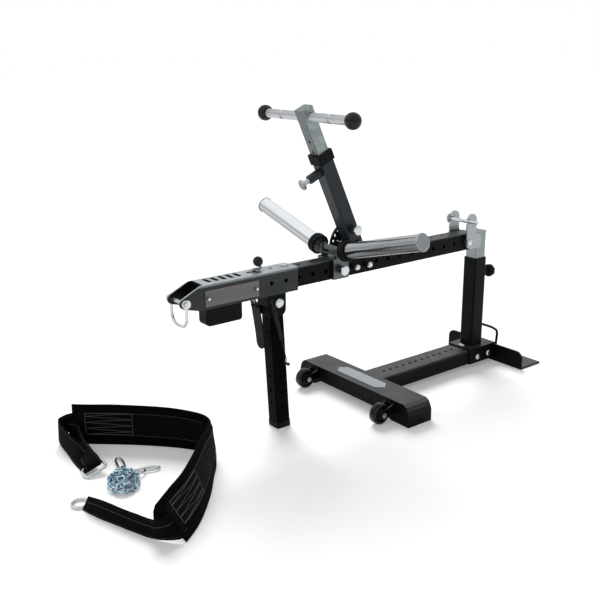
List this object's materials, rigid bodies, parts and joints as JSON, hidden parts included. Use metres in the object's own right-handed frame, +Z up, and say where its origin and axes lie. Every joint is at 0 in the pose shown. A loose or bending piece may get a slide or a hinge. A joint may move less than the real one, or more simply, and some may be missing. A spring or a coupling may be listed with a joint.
{
  "type": "belt squat machine",
  "caption": "Floor-standing lever-arm belt squat machine with a height post, prop leg, tilting handle mast, sliding horns, caster foot, padded waist belt and chain",
  "frame": {"origin": "middle of the rear floor plate's underside, on the floor", "axes": "+X to the right-hand side as seen from the nose's far end, +Y to the rear where the post stands, +Z up; the nose and the belt lie towards -Y"},
  "size_m": [0.7427, 1.7144, 0.9349],
  "materials": {
    "frame_black": "satin powder coat",
    "raw_steel": "clear-coated raw steel",
    "zinc": "zinc plated",
    "chrome": "polished",
    "fastener": "bright zinc",
    "spring_dark": "blackened spring steel",
    "gloss_black": "glossy",
    "rubber_black": "matte",
    "belt_fabric": "woven nylon",
    "chain_zinc": "bright bluish zinc"
  },
  "bodies": {
    "base": {"base_beam": "frame_black", "front_foot": "frame_black", "rear_plate": "frame_black", "post_bracket": "frame_black", "post_tube": "frame_black", "carry_handle": "frame_black", "bracket_bolt_front": "fastener", "bracket_bolt_rear": "fastener", "caster_fork_left": "frame_black", "caster_fork_right": "frame_black", "axle_left": "fastener", "axle_right": "fastener", "belt_band": "belt_fabric", "belt_strap_left": "belt_fabric", "belt_strap_right": "belt_fabric", "belt_ring_left": "fastener", "belt_ring_right": "fastener", "chain": "chain_zinc"},
    "wheel_left_body": {"wheel_left": "gloss_black"},
    "wheel_right_body": {"wheel_right": "gloss_black"},
    "height_post": {"inner_post": "zinc", "pivot_bracket": "zinc", "pivot_bolt": "fastener", "pivot_bush": "zinc"},
    "knob": {"height_knob": "rubber_black"},
    "stop_pin_body": {"stop_pin": "fastener"},
    "arm": {"lever_arm": "frame_black", "head_sleeve": "raw_steel", "nameplate": "raw_steel", "nose_bolt": "fastener", "head_bolt": "fastener", "bumper_block": "rubber_black", "leg_bracket": "frame_black", "leg_hinge_bolt": "fastener", "mast_bracket": "frame_black", "sector_plate": "frame_black", "mast_bolt": "fastener"},
    "shackle": {"nose_shackle": "fastener"},
    "leg": {"leg_tube": "frame_black", "leg_foot": "rubber_black", "spring_eye_bolt": "fastener"},
    "spring_coil": {"leg_spring": "spring_dark"},
    "spring_end": {"spring_hook": "spring_dark"},
    "release": {"release_lever": "zinc", "lever_ball": "gloss_black", "lever_strip": "frame_black"},
    "mast": {"mast_tube": "frame_black", "mast_collar": "rubber_black"},
    "mast_upper": {"mast_inner_tube": "zinc", "handle_bar": "chrome", "handle_ball_left": "gloss_black", "handle_ball_right": "gloss_black"},
    "height_pin_body": {"height_pin": "chrome"},
    "angle_pin_body": {"angle_pin": "fastener"},
    "horn_slider": {"horn_saddle": "zinc", "horn_left": "chrome", "horn_right": "chrome", "horn_collar_left": "rubber_black", "horn_collar_right": "rubber_black"},
    "saddle_pin_body": {"saddle_pin": "fastener"}
  },
  "joints": [
    {"name": "wheel_left_spin", "type": "hinge", "parent": "base", "child": "wheel_left_body", "pos_m": [-0.181, -0.735, 0.0328], "axis": [1, 0, 0], "continuous": true},
    {"name": "wheel_right_spin", "type": "hinge", "parent": "base", "child": "wheel_right_body", "pos_m": [0.181, -0.735, 0.0328], "axis": [1, 0, 0], "continuous": true},
    {"name": "post_height", "type": "slide", "parent": "base", "child": "height_post", "axis": [0, 0, 1], "range_m": [0, 0.1]},
    {"name": "knob_turn", "type": "hinge", "parent": "base", "child": "knob", "pos_m": [0, -0.046, 0.325], "axis": [0, 1, 0], "range_deg": [0, 360]},
    {"name": "stop_pin_pull", "type": "slide", "parent": "height_post", "child": "stop_pin_body", "axis": [-1, 0, 0], "range_m": [0, 0.125]},
    {"name": "arm_hinge", "type": "hinge", "parent": "height_post", "child": "arm", "pos_m": [0, -0.208, 0.4554], "axis": [-1, 0, 0], "range_deg": [0, 54]},
    {"name": "shackle_swing", "type": "hinge", "parent": "arm", "child": "shackle", "pos_m": [0, -1.297, 0.449], "axis": [1, 0, 0], "range_deg": [-150, 42]},
    {"name": "leg_fold", "type": "hinge", "parent": "arm", "child": "leg", "pos_m": [0, -0.9884, 0.3909], "axis": [1, 0, 0], "range_deg": [0, 87]},
    {"name": "spring_swing", "type": "hinge", "parent": "arm", "child": "spring_coil", "pos_m": [0.041, -1.0229, 0.4056], "axis": [1, 0, 0], "range_deg": [0, 73.95]},
    {"name": "spring_hook_turn", "type": "hinge", "parent": "leg", "child": "spring_end", "pos_m": [0.041, -0.9717, 0.2067], "axis": [1, 0, 0], "range_deg": [-13.05, 0]},
    {"name": "release_swing", "type": "hinge", "parent": "arm", "child": "release", "pos_m": [0, -1.065, 0.45], "axis": [1, 0, 0], "range_deg": [0, 6]},
    {"name": "mast_tilt", "type": "hinge", "parent": "arm", "child": "mast", "pos_m": [0, -0.687, 0.512], "axis": [1, 0, 0], "range_deg": [-17, 34]},
    {"name": "mast_height", "type": "slide", "parent": "mast", "child": "mast_upper", "axis": [0, -0.4163, 0.9092], "range_m": [-0.096, 0.064]},
    {"name": "height_pin_pull", "type": "slide", "parent": "mast", "child": "height_pin_body", "axis": [0, -0.9092, -0.4163], "range_m": [0, 0.012], "stiffness_N_per_m": 1000, "springref_m": -0.005},
    {"name": "angle_pin_pull", "type": "slide", "parent": "mast", "child": "angle_pin_body", "axis": [1, 0, 0], "range_m": [0, 0.012], "stiffness_N_per_m": 1000, "springref_m": -0.005},
    {"name": "saddle_slide", "type": "slide", "parent": "arm", "child": "horn_slider", "axis": [0, -1, 0], "range_m": [0, 0.1]},
    {"name": "saddle_pin_pull", "type": "slide", "parent": "horn_slider", "child": "saddle_pin_body", "axis": [1, 0, 0], "range_m": [0, 0.012], "stiffness_N_per_m": 1000, "springref_m": -0.005}
  ],
  "couplings": [
    {"joint": "spring_swing", "follows": "leg_fold", "ratio": 0.85},
    {"joint": "spring_hook_turn", "follows": "leg_fold", "ratio": -0.15}
  ]
}
